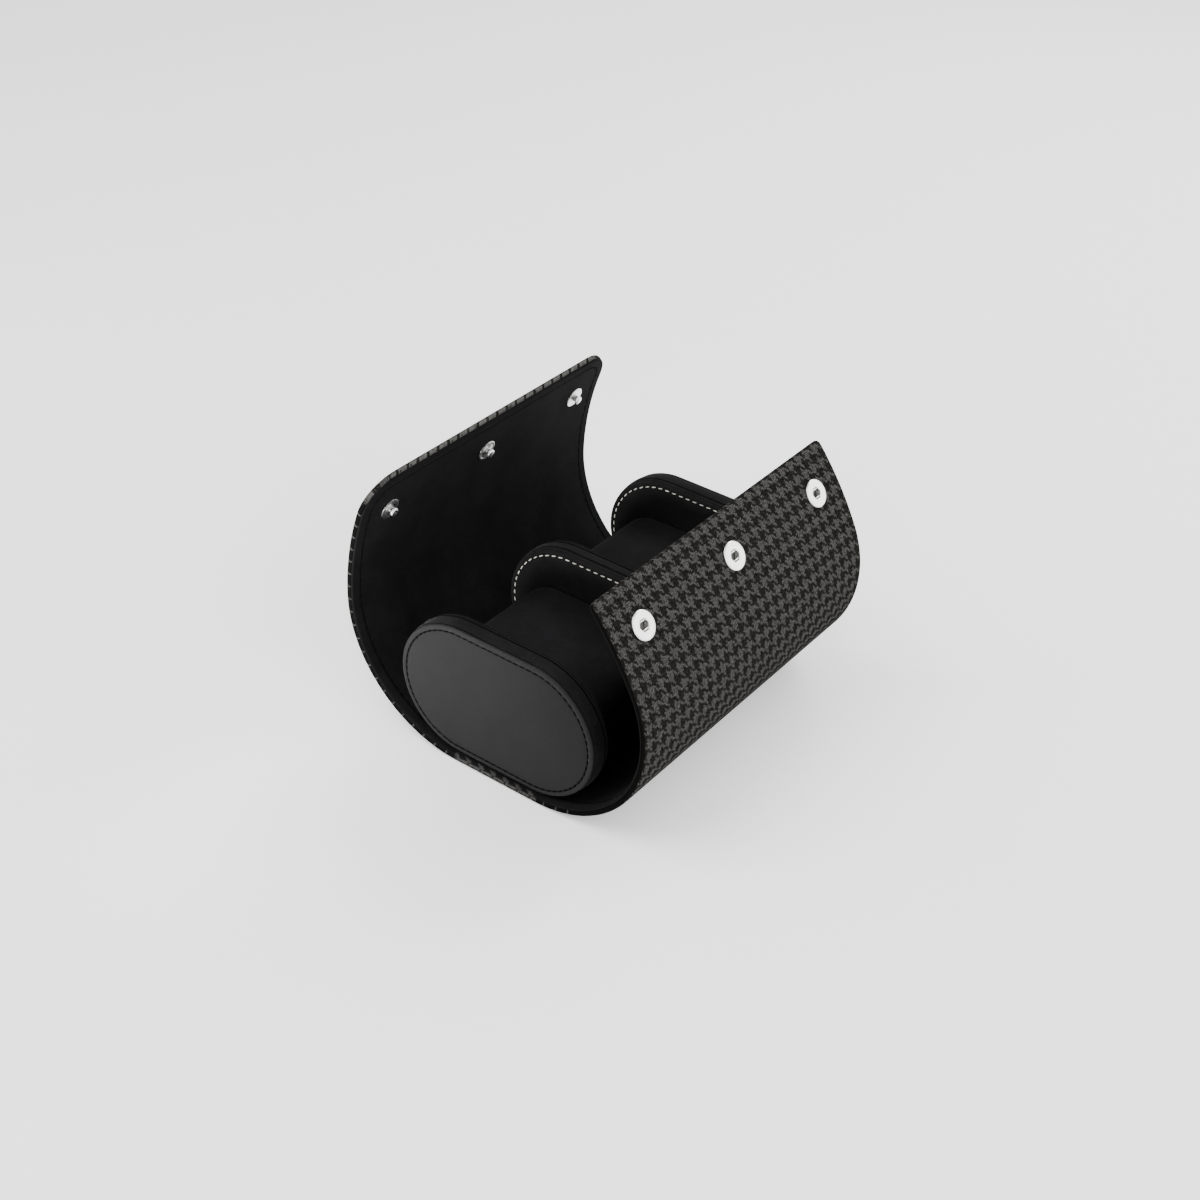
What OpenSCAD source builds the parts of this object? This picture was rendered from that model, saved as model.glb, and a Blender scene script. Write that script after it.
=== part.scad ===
// Watch roll for two watches: a padded sheet that wraps round three
// upright dividers, with a soft cushion in each of the two slots.
// Millimetres. X runs across the roll, Y along it and Z up. The origin is
// on the table, under the dividers' axis and midway along the roll.
// The sheet is drawn open. Its outer face is measured by arc length, from
// the end of the flat base to the flap's free edge.

/* [Wrap] */
// Length of the wrap along the roll
wrap_len = 145.8; // [120:0.2:180]
// Flat base, from the dividers' axis to the start of the lid
base_lid_side = 18; // [17.4:0.2:24]
// Flat base, from the dividers' axis to the start of the front flap
base_front_side = 20.8; // [17.4:0.2:26]
// Thickness of the woven cover
cover_t = 1.0; // [0.6:0.1:1.6]
// Thickness of the stiffening board
board_t = 1.2; // [0.8:0.1:2]
// Thickness of the suede lining
lining_t = 0.8; // [0.5:0.1:1.4]
// Width of the cover that is turned over the board's edge
hem_w = 1.4; // [0.8:0.1:3]
// Lining set in from the wrap's edge
lining_inset = 0.5; // [0.2:0.1:2]

/* [Lid flap] */
// Radius of the lid's lower curve
lid_r = 53.9; // [45:0.1:65]
// Angle of the lid's lower curve
lid_angle = 91.9; // [84:0.1:98]
// Radius of the lid's upper curve
lid_top_r = 124.6; // [100:0.1:160]
// Angle of the lid's upper curve
lid_top_angle = 24.9; // [20:0.1:30]
// Radius of the lid's free corners
lid_corner_r = 15; // [6:0.5:20]
// Place of the lid's first fold
lid_fold_1 = 16; // [12:0.5:20]
// Place of the lid's second fold
lid_fold_2 = 52; // [44:0.5:60]
// Place of the lid's third fold
lid_fold_3 = 95; // [88:0.5:100]
// Angle of each fold of the lid when it is closed
lid_fold_angle = 24; // [18:0.5:27]

/* [Front flap] */
// Radius of the front flap's lower curve
front_r = 48.9; // [42:0.1:60]
// Angle of the front flap's lower curve
front_angle = 115.8; // [108:0.1:120]
// Radius of the front flap's upper curve
front_top_r = 143.4; // [110:0.1:180]
// Angle of the front flap's upper curve
front_top_angle = 15.1; // [12:0.1:19]
// Radius of the front flap's free corners
front_corner_r = 2.5; // [1:0.5:8]
// Place of the front flap's first fold
front_fold_1 = 8; // [6:0.5:14]
// Place of the front flap's second fold
front_fold_2 = 41; // [34:0.5:48]
// Place of the front flap's third fold
front_fold_3 = 76; // [68:0.5:84]
// Angle of each fold of the front flap when it is closed
front_fold_angle = 20; // [15:0.5:23]

/* [Folds] */
// Open seam between two panels of the wrap at a fold
fold_gap = 0.3; // [0.2:0.05:0.6]

/* [Dividers] */
// Radius of a divider's round ends
divider_r = 29; // [24:0.2:31]
// Half the straight length between the round ends
divider_straight = 17.2; // [12:0.2:17.4]
// Thickness of a divider over both its faces
divider_t = 10.2; // [8:0.2:14]
// Thickness of a divider's suede face
face_t = 1.2; // [0.8:0.1:2]
// Thickness of the leather on the two outer faces
leather_t = 1.4; // [1:0.1:2]
// Suede face set in from the edge band
face_inset = 0.5; // [0.2:0.1:1.5]
// Leather face set in from the edge band
leather_inset = 0.3; // [0.2:0.1:1.5]
// Rounding of the edge band's corners
band_round = 1.2; // [0.6:0.1:2]
// Thickness of the suede edge band
band_t = 2.0; // [1.4:0.1:3]
// Gap from the end of the wrap to the outer leather face
end_gap = 1.6; // [0.6:0.2:5]
// Middle divider's distance from the middle of the roll
middle_shift = -1.0; // [-4:0.5:4]
// Height of a divider above the lining
divider_seat = 0.3; // [0.2:0.05:0.6]

/* [Stitches] */
// Distance of a stitch line from the divider's edge
stitch_margin = 2.7; // [2:0.1:5]
// Distance from one stitch to the next
stitch_pitch = 3.2; // [2.4:0.1:5]
// Length of the thread that shows in a stitch
stitch_len = 2.0; // [1.2:0.1:2.2]
// Width of the thread
thread_w = 0.5; // [0.3:0.05:0.7]
// Height of the thread above the face
thread_h = 0.25; // [0.15:0.05:0.3]

/* [Cushions] */
// Width of a cushion across the roll
cushion_w = 70.4; // [56:0.4:80]
// Height of a cushion
cushion_h = 30; // [24:0.4:36]
// Cushion's centre below the dividers' axis
cushion_drop = 1.4; // [0:0.2:3]
// Swell of a cushion at the middle of its length
cushion_crown = 0.9; // [0:0.1:2]
// Roundness of a cushion's ends, 2 for an ellipse
cushion_shape = 3.0; // [2.4:0.1:4]
// Thickness of the cushion's suede sleeve
sleeve_t = 1.6; // [1:0.1:3]
// Thickness of a cushion's end cap
cap_t = 1.0; // [0.6:0.1:2]
// Depth of an end cap inside the sleeve
cap_depth = 0.4; // [0.2:0.1:1.5]
// Gap from a cushion to the divider beside it
cushion_gap = 0.3; // [0.2:0.05:0.6]

/* [Snaps] */
// Distance from one snap to the next
snap_pitch = 56.5; // [46:0.5:60]
// Studs' distance from the lid's free edge
stud_from_edge = 20; // [16:0.5:24]
// Sockets' distance from the front flap's free edge
socket_from_edge = 17; // [12:0.5:22]
// Radius of a stud's foot
stud_foot_r = 4.25; // [3.5:0.05:5]
// Thickness of a stud's foot
stud_foot_t = 0.6; // [0.4:0.1:1]
// Radius of a stud's neck
stud_neck_r = 1.2; // [1:0.05:1.3]
// Radius of a stud's ball
stud_ball_r = 1.8; // [1.5:0.05:2]
// Height of a stud above the lining
stud_h = 3.1; // [2.8:0.1:3.3]
// Radius of a socket's flange
socket_r = 5.9; // [5:0.1:7]
// Height of a socket's flange above the cover
socket_h = 0.9; // [0.7:0.1:1.2]
// Radius of a socket's hole
socket_hole_r = 2.3; // [2.2:0.05:2.6]
// Radius of a socket's barrel
socket_barrel_r = 3.0; // [2.8:0.05:3.4]
// Radius of a socket spring's wire
spring_r = 0.22; // [0.15:0.01:0.25]
// Radius of a rivet's flange
rivet_r = 4.4; // [3.6:0.1:5]
// Thickness of a rivet's flange
rivet_t = 0.4; // [0.3:0.05:0.5]
// Radius of a stud's rivet shank
shank_r = 1.9; // [1.5:0.05:2.2]

/* [Hidden] */

// Colours as the photograph shows them
woven = [0.20, 0.20, 0.21];
suede = [0.05, 0.05, 0.06];
lining_black = [0.06, 0.06, 0.07];
grey_leather = [0.22, 0.22, 0.23];
board_brown = [0.45, 0.40, 0.33];
foam_grey = [0.35, 0.35, 0.37];
cream = [0.85, 0.82, 0.75];
dark_thread = [0.10, 0.10, 0.10];
nickel = [0.80, 0.80, 0.80];

// Running clearance between two layers or pieces that are fixed together
fit = 0.05;
wall_t = cover_t + board_t + lining_t;
cover_back = cover_t + board_t;
// Long enough to reach past the whole roll
far_out = 400;
arc_fn = 180;
round_fn = 64;

// The two flaps as lists: lower radius, lower angle, upper radius, upper
// angle, start of the curve, side (1 is the front and -1 the lid)
lid = [lid_r, lid_angle, lid_top_r, lid_top_angle, base_lid_side, -1];
front = [front_r, front_angle, front_top_r, front_top_angle, base_front_side, 1];

function lower_len(f) = f[0] * f[1] * PI / 180;
function flap_len(f) = lower_len(f) + f[2] * f[3] * PI / 180;

// Heading of the outer face at arc length s, in degrees above the table
function heading(f, s) = s < lower_len(f)
    ? s / f[0] * 180 / PI
    : f[1] + (s - lower_len(f)) / f[2] * 180 / PI;

// Centre of the flap's upper curve
function top_centre(f) = [
    (f[0] - f[2]) * sin(f[1]),
    f[0] - (f[0] - f[2]) * cos(f[1])
];

// Point of the outer face at arc length s
function place(f, s) = s < lower_len(f)
    ? [f[0] * sin(heading(f, s)), f[0] * (1 - cos(heading(f, s)))]
    : top_centre(f) + f[2] * [sin(heading(f, s)), -cos(heading(f, s))];

// Moves a flap's own frame, which starts where the flat base ends, to its
// side of the roll. The lid's is a mirror image
module on_side(f) {
    if (f[5] > 0)
        translate([f[4], 0, 0]) children();
    else
        mirror([1, 0, 0]) translate([f[4], 0, 0]) children();
}

// Stands a flat drawing of a cross-section upright along the roll
module along(length) {
    rotate([90, 0, 0])
        linear_extrude(length, center = true)
            children();
}

// Everything on the free side of arc length s, with an edge that leans
// towards the free side by tilt
module beyond(f, s, tilt = 0, gap = 0) {
    translate(place(f, s))
        rotate(heading(f, s))
            translate([gap, 0])
                rotate(-tilt)
                    translate([0, -far_out / 2])
                        square(far_out);
}

module ring(r, depth_1, depth_2) {
    difference() {
        circle(r = r - depth_1, $fn = arc_fn);
        circle(r = r - depth_2, $fn = arc_fn);
    }
}

// A small block inside the layer, where its two curves meet, so that they
// are one piece whatever their radii
module curve_joint(f, depth_1, depth_2) {
    joint_len = 1;
    sagitta = joint_len * joint_len / f[0];
    translate(place(f, lower_len(f)))
        rotate(f[1])
            translate([-joint_len / 2, depth_1 + sagitta])
                square([joint_len, depth_2 - depth_1 - 2 * sagitta]);
}

// A whole flap between two depths below its outer face, up to arc length end
module flap_profile(f, depth_1, depth_2, end) {
    lower_edge = far_out * [sin(f[1]), -cos(f[1])];
    upper_edge = far_out * [sin(f[1] + f[3]), -cos(f[1] + f[3])];
    difference() {
        union() {
            translate([0, f[0]])
                intersection() {
                    ring(f[0], depth_1, depth_2);
                    polygon([[0, 0], [0, -far_out], [far_out, -far_out], lower_edge]);
                }
            translate(top_centre(f))
                intersection() {
                    ring(f[2], depth_1, depth_2);
                    polygon([[0, 0], lower_edge, upper_edge]);
                }
            curve_joint(f, depth_1, depth_2);
        }
        if (end < flap_len(f))
            beyond(f, end);
    }
}

// Rounds a flap's two free corners. The arc crosses the edges at a very
// small angle, as a touching arc would make an uncertain cut
module corner_cuts(f, corner_r, inset) {
    crossing = 0.02;
    s = flap_len(f) - inset - corner_r + crossing;
    y = wrap_len / 2 - inset - corner_r + crossing;
    on_side(f)
        for (end = [-1, 1])
            translate([place(f, s)[0], end * y, place(f, s)[1]])
                rotate([0, -heading(f, s), 0])
                    linear_extrude(4 * corner_r + wall_t, center = true)
                        difference() {
                            translate([0, end > 0 ? 0 : -2 * corner_r])
                                square(2 * corner_r);
                            circle(r = corner_r, $fn = round_fn);
                        }
}

// A layer of a whole flap, set in from the wrap's edge
module flap_layer(f, depth_1, depth_2, inset) {
    difference() {
        along(wrap_len - 2 * inset)
            on_side(f)
                flap_profile(f, depth_1, depth_2, flap_len(f) - inset);
        corner_cuts(f, corner_radius(f) - inset, inset);
    }
}
function corner_radius(f) = max(f[5] > 0 ? front_corner_r : lid_corner_r, hem_w + 0.5);

// Folds of a flap by arc length, with the free edge as the last
function folds(f) = f[5] > 0
    ? [front_fold_1, front_fold_2, front_fold_3, far_out]
    : [lid_fold_1, lid_fold_2, lid_fold_3, far_out];
function fold_angle(f) = f[5] > 0 ? front_fold_angle : lid_fold_angle;

// Cuts a layer to panel n of a flap: each fold is an open V, hinged at the
// outer face, so that the panels close up when the flap curls in
module between_folds(f, n) {
    intersection() {
        children();
        along(wrap_len + 2)
            on_side(f)
                difference() {
                    beyond(f, folds(f)[n], fold_angle(f) / 2, fold_gap / 2);
                    if (folds(f)[n + 1] < flap_len(f))
                        beyond(f, folds(f)[n + 1], -fold_angle(f) / 2, -fold_gap / 2);
                }
    }
}

// The cover is turned over the board along the wrap's edge
module flap_cover(f) {
    difference() {
        flap_layer(f, 0, cover_back, 0);
        flap_layer(f, cover_t, cover_back + 1, hem_w);
    }
}
module flap_board(f) {
    flap_layer(f, cover_t + fit, cover_back, hem_w + fit);
}
module flap_lining(f) {
    flap_layer(f, cover_back + fit, wall_t, lining_inset);
}

// The base is flat in the middle and reaches to each flap's first fold
module base_layer(depth_1, depth_2, inset) {
    along(wrap_len - 2 * inset) {
        translate([-base_lid_side, depth_1])
            square([base_lid_side + base_front_side, depth_2 - depth_1]);
        for (f = [lid, front])
            on_side(f)
                difference() {
                    flap_profile(f, depth_1, depth_2, flap_len(f));
                    beyond(f, folds(f)[0], -fold_angle(f) / 2, -fold_gap / 2);
                }
    }
}

module base_cover() {
    color(woven)
        difference() {
            base_layer(0, cover_back, 0);
            base_layer(cover_t, cover_back + 1, hem_w);
        }
}
module base_board() {
    color(board_brown) base_layer(cover_t + fit, cover_back, hem_w + fit);
}
module base_lining() {
    color(lining_black) base_layer(cover_back + fit, wall_t, lining_inset);
}

module lid_root_cover() { color(woven) between_folds(lid, 0) flap_cover(lid); }
module lid_root_board() { color(board_brown) between_folds(lid, 0) flap_board(lid); }
module lid_root_lining() { color(lining_black) between_folds(lid, 0) flap_lining(lid); }
module lid_middle_cover() { color(woven) between_folds(lid, 1) flap_cover(lid); }
module lid_middle_board() { color(board_brown) between_folds(lid, 1) flap_board(lid); }
module lid_middle_lining() { color(lining_black) between_folds(lid, 1) flap_lining(lid); }
module front_root_cover() { color(woven) between_folds(front, 0) flap_cover(front); }
module front_root_board() { color(board_brown) between_folds(front, 0) flap_board(front); }
module front_root_lining() { color(lining_black) between_folds(front, 0) flap_lining(front); }
module front_middle_cover() { color(woven) between_folds(front, 1) flap_cover(front); }
module front_middle_board() { color(board_brown) between_folds(front, 1) flap_board(front); }
module front_middle_lining() {
    color(lining_black) between_folds(front, 1) flap_lining(front);
}

module lid_tip_cover() { color(woven) between_folds(lid, 2) flap_cover(lid); }
module lid_tip_board() {
    color(board_brown)
        difference() {
            between_folds(lid, 2) flap_board(lid);
            at_snaps(lid, stud_from_edge) {
                cylinder(r = shank_r + fit, h = wall_t, $fn = round_fn);
                cylinder(r = rivet_r + fit, h = lid_rivet_seat + rivet_t + fit, $fn = round_fn);
            }
        }
}
module lid_tip_lining() {
    color(lining_black)
        difference() {
            between_folds(lid, 2) flap_lining(lid);
            at_snaps(lid, stud_from_edge)
                cylinder(r = shank_r + fit, h = wall_t + 1, $fn = round_fn);
        }
}
module front_tip_cover() {
    color(woven)
        difference() {
            between_folds(front, 2) flap_cover(front);
            at_snaps(front, socket_from_edge)
                translate([0, 0, -1])
                    cylinder(r = socket_barrel_r + fit, h = wall_t, $fn = round_fn);
        }
}
module front_tip_board() {
    color(board_brown)
        difference() {
            between_folds(front, 2) flap_board(front);
            at_snaps(front, socket_from_edge) {
                cylinder(r = socket_barrel_r + fit, h = wall_t, $fn = round_fn);
                translate([0, 0, cover_back - rivet_t - fit])
                    cylinder(r = rivet_r + fit, h = wall_t, $fn = round_fn);
            }
        }
}
module front_tip_lining() { color(lining_black) between_folds(front, 2) flap_lining(front); }

// Three snaps in a row. Z points into the roll from the cover's outer face
module at_snaps(f, from_edge) {
    s = flap_len(f) - from_edge;
    on_side(f)
        for (n = [-1, 0, 1])
            translate([place(f, s)[0], n * snap_pitch, place(f, s)[1]])
                rotate([0, -heading(f, s), 0])
                    children();
}

// How far a curved layer rises from its middle to a flat disc's edge
function rise(disc_r, curve_r) = curve_r - sqrt(pow(curve_r, 2) - pow(disc_r, 2));
// A stud's flat foot stands on the hollow of the curved lining, and its
// rivet's flange in the hollow of the cover
stud_seat = wall_t + fit + rise(stud_foot_r, lid_top_r - wall_t);
lid_rivet_seat = cover_t + fit + rise(rivet_r, lid_top_r - cover_t);
stud_bevel = 0.5;
module stud() {
    ball_half = 0.7;
    cylinder(r = stud_foot_r, h = stud_foot_t / 2, $fn = round_fn);
    translate([0, 0, stud_foot_t / 2])
        cylinder(r1 = stud_foot_r, r2 = stud_foot_r - stud_bevel, h = stud_foot_t / 2, $fn = round_fn);
    cylinder(r = stud_neck_r, h = stud_h - ball_half, $fn = round_fn);
    translate([0, 0, stud_h - ball_half])
        intersection() {
            sphere(r = stud_ball_r, $fn = round_fn);
            cube([4 * stud_ball_r, 4 * stud_ball_r, 2 * ball_half], center = true);
        }
}
module lid_studs() {
    color(nickel)
        at_snaps(lid, stud_from_edge)
            translate([0, 0, stud_seat])
                stud();
}
module lid_stud_rivets() {
    color(nickel)
        at_snaps(lid, stud_from_edge)
            translate([0, 0, lid_rivet_seat]) {
                cylinder(r = rivet_r, h = rivet_t, $fn = round_fn);
                cylinder(r = shank_r, h = stud_seat - lid_rivet_seat, $fn = round_fn);
            }
}

function hexagon(r) = [for (n = [0 : 5]) r * [cos(30 + n * 60), sin(30 + n * 60)]];

// A socket is a flanged barrel in the cover and board, held from behind
barrel_len = cover_back - rivet_t;
module socket() {
    rim_w = 1.2;
    difference() {
        union() {
            translate([0, 0, -socket_h * 0.7])
                cylinder(r = socket_r, h = socket_h * 0.7, $fn = round_fn);
            translate([0, 0, -socket_h])
                difference() {
                    cylinder(r1 = socket_r - socket_h * 0.3, r2 = socket_r, h = socket_h * 0.3,
                        $fn = round_fn);
                    translate([0, 0, -1])
                        cylinder(r = socket_r - rim_w, h = 2, $fn = round_fn);
                }
            cylinder(r = socket_barrel_r, h = barrel_len, $fn = round_fn);
        }
        translate([0, 0, -socket_h - 1])
            linear_extrude(wall_t + socket_h + 2)
                polygon(hexagon(socket_hole_r));
    }
}
module front_sockets() {
    color(nickel) at_snaps(front, socket_from_edge) socket();
}

// Two wires cross each socket's hole and grip the stud's neck between them
spring_x = stud_neck_r + spring_r + 0.15;
spring_len = 2 * (socket_hole_r - (spring_x + spring_r) * tan(30)) - 2 * fit;
module front_socket_springs() {
    color(nickel)
        at_snaps(front, socket_from_edge)
            for (side = [-1, 1])
                translate([side * spring_x, 0, -socket_h / 2])
                    rotate([90, 0, 0])
                        cylinder(r = spring_r, h = spring_len, center = true, $fn = 24);
}
module front_socket_rivets() {
    color(nickel)
        at_snaps(front, socket_from_edge)
            translate([0, 0, barrel_len])
                cylinder(r = rivet_r, h = rivet_t, $fn = round_fn);
}

// Dividers
axis_h = wall_t + divider_seat + divider_r;
near_y = -wrap_len / 2 + end_gap + divider_t / 2;
far_y = -near_y;
edge_round = 0.5;

// Turns a half section into an obround that lies across the roll: the
// section's x is the distance from the axis and its y runs along the roll
module obround(straight) {
    for (end = [-1, 1])
        translate([end * straight, 0, 0])
            rotate([90, 0, 0])
                rotate([0, 0, -90 * end])
                    rotate_extrude(angle = 180, $fn = arc_fn)
                        children();
    rotate([180, -90, 0])
        linear_extrude(2 * straight, center = true) {
            children();
            mirror([1, 0]) children();
        }
}

// Moves a divider's piece to its place, with +Y turned to face outwards
module at_divider(y, outward) {
    translate([0, y, axis_h])
        rotate([0, 0, outward > 0 ? 0 : 180])
            children();
}

// Half section of a flat plate whose outer edge is rounded on its +Y side.
// The obround turns a section's +y to -Y, so plates are drawn downwards
module plate_section(r, y_1, y_2) {
    translate([0, -y_2 + edge_round])
        square([r, y_2 - y_1 - edge_round]);
    translate([0, -y_2])
        square([r - edge_round, y_2 - y_1]);
    translate([r - edge_round, -y_2 + edge_round])
        circle(r = edge_round, $fn = 24);
}

// A divider's inside runs between two faces, from y_1 to y_2
module band(y_1, y_2) {
    r = divider_r;
    obround(divider_straight)
        intersection() {
            translate([r - band_t, -y_2])
                square([band_t, y_2 - y_1]);
            union() {
                translate([0, -y_2])
                    square([r - band_round, y_2 - y_1]);
                translate([0, -y_2 + band_round])
                    square([r, y_2 - y_1 - 2 * band_round]);
                for (y = [y_1 + band_round, y_2 - band_round])
                    translate([r - band_round, -y])
                        circle(r = band_round, $fn = 32);
            }
        }
}
module core(y_1, y_2) {
    obround(divider_straight)
        translate([0, -y_2])
            square([divider_r - band_t - fit, y_2 - y_1]);
}
module face(r, y_1, y_2) {
    obround(divider_straight) plate_section(r, y_1, y_2);
}
half = divider_t / 2;
band_side = half - face_t;
leather_side = half - leather_t;

module near_divider_band() {
    color(suede) at_divider(near_y, -1) band(-band_side, leather_side);
}
module near_divider_core() {
    color(foam_grey) at_divider(near_y, -1) core(-band_side, leather_side);
}
module near_divider_leather() {
    color(grey_leather)
        at_divider(near_y, -1) face(divider_r - leather_inset, leather_side, half);
}
module near_divider_face() {
    color(suede) at_divider(near_y, 1) face(divider_r - face_inset, band_side, half);
}
module middle_divider_band() {
    color(suede) at_divider(middle_shift, 1) band(-band_side, band_side);
}
module middle_divider_core() {
    color(foam_grey) at_divider(middle_shift, 1) core(-band_side, band_side);
}
module middle_divider_faces() {
    color(suede)
        for (side = [-1, 1])
            at_divider(middle_shift, side) face(divider_r - face_inset, band_side, half);
}
module far_divider_band() {
    color(suede) at_divider(far_y, 1) band(-band_side, leather_side);
}
module far_divider_core() {
    color(foam_grey) at_divider(far_y, 1) core(-band_side, leather_side);
}
module far_divider_leather() {
    color(grey_leather)
        at_divider(far_y, 1) face(divider_r - leather_inset, leather_side, half);
}
module far_divider_face() {
    color(suede) at_divider(far_y, -1) face(divider_r - face_inset, band_side, half);
}

// A ring of stitches on a divider's face, evenly spaced round the obround
stitch_r = divider_r - stitch_margin;
stitch_path = 4 * divider_straight + 2 * PI * stitch_r;
stitch_count = floor(stitch_path / stitch_pitch);
quarter = 2 * divider_straight;
half_turn = PI * stitch_r;

// Point and direction at distance d along the stitch line: [x, z, angle]
function stitch_at(d) =
    d < quarter ? [d - divider_straight, stitch_r, 0]
    : d < quarter + half_turn
        ? let (a = 90 - (d - quarter) / stitch_r * 180 / PI)
            [divider_straight + stitch_r * cos(a), stitch_r * sin(a), a - 90]
    : d < 2 * quarter + half_turn
        ? [divider_straight - (d - quarter - half_turn), -stitch_r, 180]
    : let (a = -90 - (d - 2 * quarter - half_turn) / stitch_r * 180 / PI)
        [-divider_straight + stitch_r * cos(a), stitch_r * sin(a), a - 90];

module stitches(y, outward) {
    at_divider(y, outward)
        for (n = [0 : stitch_count - 1]) {
            p = stitch_at(n * stitch_path / stitch_count);
            translate([p[0], half + thread_h / 2, p[1]])
                rotate([0, -p[2], 0])
                    cube([stitch_len, thread_h, thread_w], center = true);
        }
}
module near_divider_stitches() { color(cream) stitches(near_y, 1); }
module middle_divider_stitches() {
    color(cream) {
        stitches(middle_shift, -1);
        stitches(middle_shift, 1);
    }
}
module far_divider_stitches() { color(cream) stitches(far_y, -1); }
module leather_stitches() {
    color(dark_thread) {
        stitches(near_y, -1);
        stitches(far_y, 1);
    }
}

// Cushions: a flat-topped oval sleeve, swollen at the middle and drawn in
// at its two ends
ring_points = 48;
// Places of the rings along half the cushion, from its middle to its end
ring_places = [0, 0.3, 0.6, 0.82, 0.93, 0.98, 1];
end_draw = 1.6;
sleeve_swell = [for (t = ring_places) cushion_crown * (1 - t * t) - end_draw * pow(t, 24)];
ring_count = 2 * len(ring_places) - 1;
middle_ring = len(ring_places) - 1;

function power(v, p) = sign(v) * pow(abs(v), p);
function oval(grow) = [
    for (n = [0 : ring_points - 1])
        let (a = (n + 0.5) * 360 / ring_points)
        [
            (cushion_w / 2 + grow) * power(cos(a), 2 / cushion_shape),
            (cushion_h / 2 + grow) * power(sin(a), 2 / cushion_shape)
        ]
];
module sleeve_form(length) {
    points = [
        for (r = [0 : ring_count - 1])
            let (k = abs(r - middle_ring), side = r < middle_ring ? -1 : 1)
            for (p = oval(sleeve_swell[k]))
                [p[0], side * ring_places[k] * length / 2, p[1]]
    ];
    sides = [
        for (r = [0 : ring_count - 2])
            for (n = [0 : ring_points - 1])
                let (a = r * ring_points, b = a + ring_points, m = (n + 1) % ring_points)
                each [[a + n, a + m, b + n], [a + m, b + m, b + n]]
    ];
    last = (ring_count - 1) * ring_points;
    ends = [
        for (n = [1 : ring_points - 2])
            each [[0, n + 1, n], [last, last + n, last + n + 1]]
    ];
    polyhedron(points = points, faces = concat(sides, ends));
}

// A slot's two dividers' faces, as places along the roll
near_slot = [near_y + half, middle_shift - half];
far_slot = [middle_shift + half, far_y - half];
function cushion_len(slot) = slot[1] - slot[0] - 2 * (cushion_gap + thread_h);
cushion_z = axis_h - cushion_drop;

module at_slot(slot) {
    translate([0, (slot[0] + slot[1]) / 2, cushion_z]) children();
}
module cushion_sleeve(slot) {
    color(suede)
        at_slot(slot)
            difference() {
                sleeve_form(cushion_len(slot));
                along(cushion_len(slot) + 2) polygon(oval(-sleeve_t - end_draw));
            }
}
module cushion_foam(slot) {
    color(foam_grey)
        at_slot(slot)
            along(cushion_len(slot) - 2 * (cap_depth + cap_t))
                polygon(oval(-sleeve_t - end_draw - fit));
}
module cushion_caps(slot) {
    color(suede)
        at_slot(slot)
            for (end = [-1, 1])
                translate([0, end * (cushion_len(slot) / 2 - cap_depth - cap_t / 2), 0])
                    along(cap_t)
                        polygon(oval(-sleeve_t - end_draw - fit));
}
module near_cushion_sleeve() { cushion_sleeve(near_slot); }
module near_cushion_foam() { cushion_foam(near_slot); }
module near_cushion_caps() { cushion_caps(near_slot); }
module far_cushion_sleeve() { cushion_sleeve(far_slot); }
module far_cushion_foam() { cushion_foam(far_slot); }
module far_cushion_caps() { cushion_caps(far_slot); }

base_cover();
base_board();
base_lining();
lid_root_cover();
lid_root_board();
lid_root_lining();
lid_middle_cover();
lid_middle_board();
lid_middle_lining();
lid_tip_cover();
lid_tip_board();
lid_tip_lining();
front_root_cover();
front_root_board();
front_root_lining();
front_middle_cover();
front_middle_board();
front_middle_lining();
front_tip_cover();
front_tip_board();
front_tip_lining();
near_divider_band();
near_divider_core();
near_divider_leather();
near_divider_face();
near_divider_stitches();
middle_divider_band();
middle_divider_core();
middle_divider_faces();
middle_divider_stitches();
far_divider_band();
far_divider_core();
far_divider_leather();
far_divider_face();
far_divider_stitches();
leather_stitches();
near_cushion_sleeve();
near_cushion_foam();
near_cushion_caps();
far_cushion_sleeve();
far_cushion_foam();
far_cushion_caps();
lid_studs();
lid_stud_rivets();
front_sockets();
front_socket_springs();
front_socket_rivets();
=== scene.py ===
# %% [markdown]
# # A watch roll, piece by piece
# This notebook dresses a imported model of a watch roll. A stiff sheet of
# houndstooth cloth, lined with black suede cloth, wraps round three padded
# dividers, and a soft cushion sits in each slot between them. The CAD model
# gives every place and size, so each piece here goes where the real one is
# held. Shapes are drawn in millimetres and then brought to the frame's metres.
# The roll's long direction is Y.

# %% Load the CAD frame
import math

import bpy
from mathutils import Matrix, Vector


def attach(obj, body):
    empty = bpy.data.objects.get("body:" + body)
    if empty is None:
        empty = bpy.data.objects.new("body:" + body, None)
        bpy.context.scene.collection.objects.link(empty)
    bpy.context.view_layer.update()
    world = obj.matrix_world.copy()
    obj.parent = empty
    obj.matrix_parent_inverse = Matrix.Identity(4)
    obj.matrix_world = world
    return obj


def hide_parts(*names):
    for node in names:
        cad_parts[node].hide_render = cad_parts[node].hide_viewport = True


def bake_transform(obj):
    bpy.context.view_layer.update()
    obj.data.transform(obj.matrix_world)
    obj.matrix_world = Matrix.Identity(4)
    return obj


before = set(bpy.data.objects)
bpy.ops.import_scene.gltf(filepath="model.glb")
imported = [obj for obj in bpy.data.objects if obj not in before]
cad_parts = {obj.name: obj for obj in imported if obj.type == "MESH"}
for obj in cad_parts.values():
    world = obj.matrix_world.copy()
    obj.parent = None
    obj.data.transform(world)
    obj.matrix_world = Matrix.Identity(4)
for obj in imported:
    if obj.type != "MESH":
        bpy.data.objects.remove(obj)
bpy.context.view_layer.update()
MM = 0.001
TOUCH = 0.01  # mm, within which a point counts as on a line

# %% [markdown]
# ## Working as by hand
# Every piece starts as a primitive that is shaped in edit mode. An operator
# acts on all that is selected, so these helpers clear the selection, open and
# close edit mode, and pick vertices, edges or faces by their place.


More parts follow.
